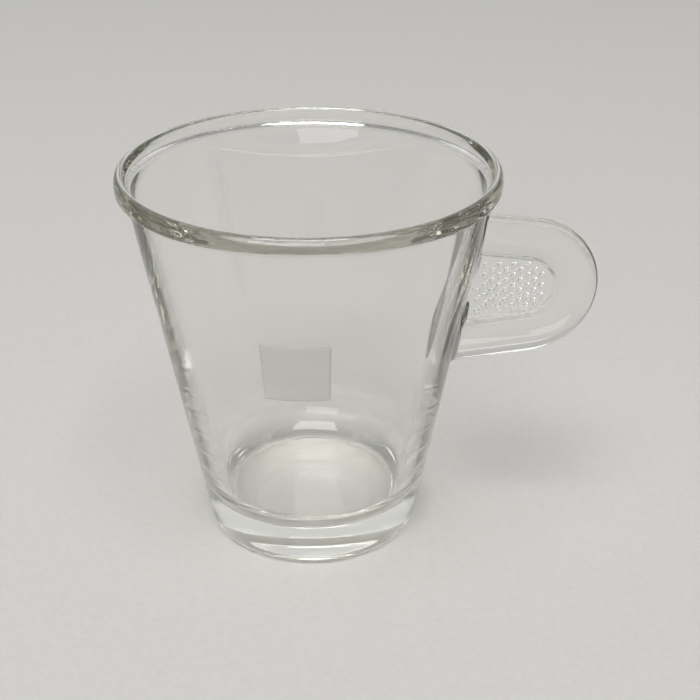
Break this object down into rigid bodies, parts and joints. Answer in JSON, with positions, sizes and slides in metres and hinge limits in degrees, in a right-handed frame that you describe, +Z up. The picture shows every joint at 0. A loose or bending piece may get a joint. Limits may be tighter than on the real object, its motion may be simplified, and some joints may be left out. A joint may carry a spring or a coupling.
{
  "type": "glass espresso cup",
  "caption": "Conical clear glass espresso cup with a rounded rim bead, a rounded bottom in a thick foot and a solid tab handle with studded finger fields.",
  "frame": {"origin": "on the cup's axis, on the flat foot that stands on the table", "axes": "+Z up along the cup's axis, +X from the axis out through the middle of the handle"},
  "size_m": [0.0796, 0.062, 0.065],
  "materials": {
    "bowl_glass": "clear pressed soda-lime glass, fire-polished, with a plain frosted square on the front of the wall",
    "handle_glass": "clear pressed soda-lime glass with soft mould waves and small studs in the finger fields"
  },
  "bodies": {
    "root": {"bowl": "bowl_glass", "handle": "handle_glass"}
  },
  "joints": []
}
